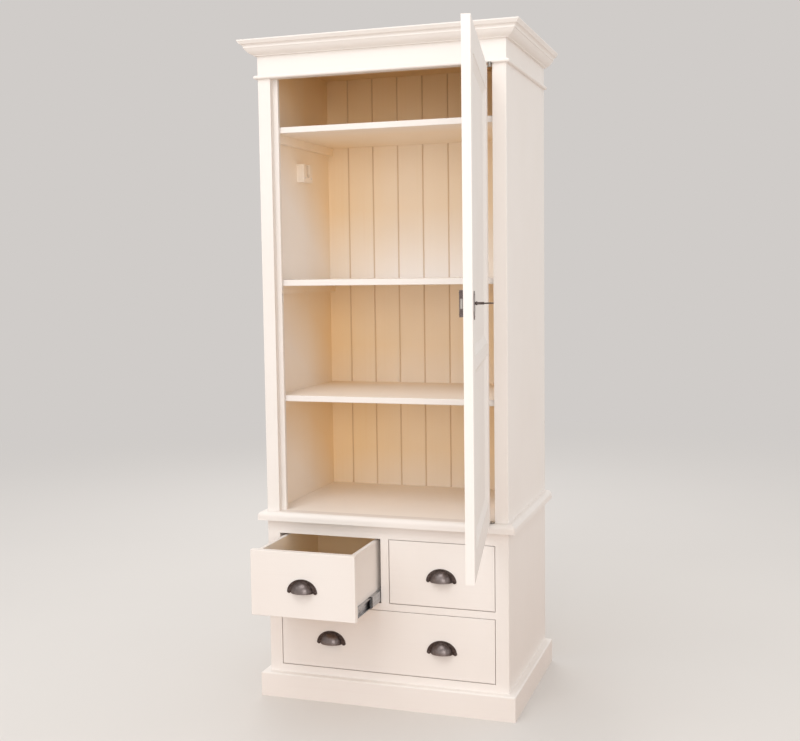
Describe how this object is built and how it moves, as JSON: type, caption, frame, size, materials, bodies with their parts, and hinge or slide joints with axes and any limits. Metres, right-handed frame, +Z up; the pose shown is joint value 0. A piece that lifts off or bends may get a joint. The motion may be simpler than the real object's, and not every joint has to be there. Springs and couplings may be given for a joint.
{
  "type": "wardrobe",
  "caption": "Free-standing painted wardrobe: a panelled, lockable door over a shelved cupboard, drawers with cup pulls below, matched-board back, and moulded cornice, waist and plinth.",
  "frame": {"origin": "on the floor, under the centre of the carcass", "axes": "+Z up, +X to the right of someone who faces the wardrobe, -Y towards that person, the wall at +Y"},
  "size_m": [0.9181, 1.213, 2],
  "materials": {
    "painted_wood": "cream paint, satin, brushed on",
    "drawer_board": "bare plywood",
    "bare_wood": "unpainted",
    "antique_iron": "dark antique, satin",
    "runner_steel": "zinc plated",
    "lock_steel": "dull"
  },
  "bodies": {
    "carcass": {"plinth_front": "painted_wood", "plinth_returns": "painted_wood", "base_sides": "painted_wood", "base_bottom_panel": "bare_wood", "base_stiles": "painted_wood", "base_bottom_rail": "painted_wood", "base_mid_rail": "painted_wood", "base_top_rail": "painted_wood", "base_partition": "painted_wood", "base_bearer": "bare_wood", "base_back_panel": "bare_wood", "runner_packers": "bare_wood", "waist_board": "painted_wood", "side_left": "painted_wood", "side_right": "painted_wood", "stiles": "painted_wood", "frieze_board": "painted_wood", "astragal": "painted_wood", "cornice_front": "painted_wood", "cornice_returns": "painted_wood", "top_panel": "painted_wood", "back_boards": "painted_wood", "shelf_upper": "painted_wood", "shelf_middle": "painted_wood", "shelf_lower": "painted_wood", "shelf_cleats": "painted_wood", "rail_sockets": "painted_wood", "door_stop": "painted_wood", "pivot_plates": "runner_steel", "fixed_rails": "runner_steel"},
    "door": {"door_hinge_stile": "painted_wood", "door_lock_stile": "painted_wood", "door_top_rail": "painted_wood", "door_mid_rail": "painted_wood", "door_bottom_rail": "painted_wood", "door_panel_upper": "painted_wood", "door_panel_lower": "painted_wood", "door_pivot_leaves": "runner_steel", "lock_case": "antique_iron", "escutcheon": "antique_iron"},
    "bolt": {"lock_bolt": "lock_steel"},
    "turning_key": {"key": "antique_iron"},
    "left_drawer": {"left_drawer_front": "painted_wood", "left_drawer_box": "painted_wood", "left_drawer_floor": "drawer_board", "left_drawer_pull": "antique_iron", "left_drawer_inner_rails": "runner_steel"},
    "left_drawer_rails": {"left_drawer_middle_rails": "runner_steel"},
    "right_drawer": {"right_drawer_front": "painted_wood", "right_drawer_box": "painted_wood", "right_drawer_floor": "drawer_board", "right_drawer_pull": "antique_iron", "right_drawer_inner_rails": "runner_steel"},
    "right_drawer_rails": {"right_drawer_middle_rails": "runner_steel"},
    "large_drawer": {"large_drawer_front": "painted_wood", "large_drawer_box": "painted_wood", "large_drawer_floor": "drawer_board", "large_drawer_pull": "antique_iron", "large_drawer_inner_rails": "runner_steel"},
    "large_drawer_rails": {"large_drawer_middle_rails": "runner_steel"}
  },
  "joints": [
    {"name": "door_swing", "type": "hinge", "parent": "carcass", "child": "door", "pos_m": [0.3345, -0.277, 1.2345], "axis": [0, 0, 1], "range_deg": [-100.8, 69.2]},
    {"name": "key_turn", "type": "hinge", "parent": "door", "child": "turning_key", "pos_m": [0.44652, -0.90157, 1.235], "axis": [-0.9823, -0.1874, 0], "range_deg": [0, 180]},
    {"name": "bolt_throw", "type": "slide", "parent": "door", "child": "bolt", "axis": [0.1874, -0.9823, 0], "range_m": [0, 0.01]},
    {"name": "left_drawer_slide", "type": "slide", "parent": "carcass", "child": "left_drawer", "axis": [0, -1, 0], "range_m": [-0.217, 0.233]},
    {"name": "left_rails_slide", "type": "slide", "parent": "carcass", "child": "left_drawer_rails", "axis": [0, -1, 0], "range_m": [-0.1085, 0.1165]},
    {"name": "right_drawer_slide", "type": "slide", "parent": "carcass", "child": "right_drawer", "axis": [0, -1, 0], "range_m": [0, 0.45]},
    {"name": "right_rails_slide", "type": "slide", "parent": "carcass", "child": "right_drawer_rails", "axis": [0, -1, 0], "range_m": [0, 0.225]},
    {"name": "large_drawer_slide", "type": "slide", "parent": "carcass", "child": "large_drawer", "axis": [0, -1, 0], "range_m": [0, 0.45]},
    {"name": "large_rails_slide", "type": "slide", "parent": "carcass", "child": "large_drawer_rails", "axis": [0, -1, 0], "range_m": [0, 0.225]}
  ],
  "couplings": [
    {"joint": "bolt_throw", "follows": "key_turn", "m_per_rad": 0.003183},
    {"joint": "left_rails_slide", "follows": "left_drawer_slide", "ratio": 0.5},
    {"joint": "right_rails_slide", "follows": "right_drawer_slide", "ratio": 0.5},
    {"joint": "large_rails_slide", "follows": "large_drawer_slide", "ratio": 0.5}
  ]
}
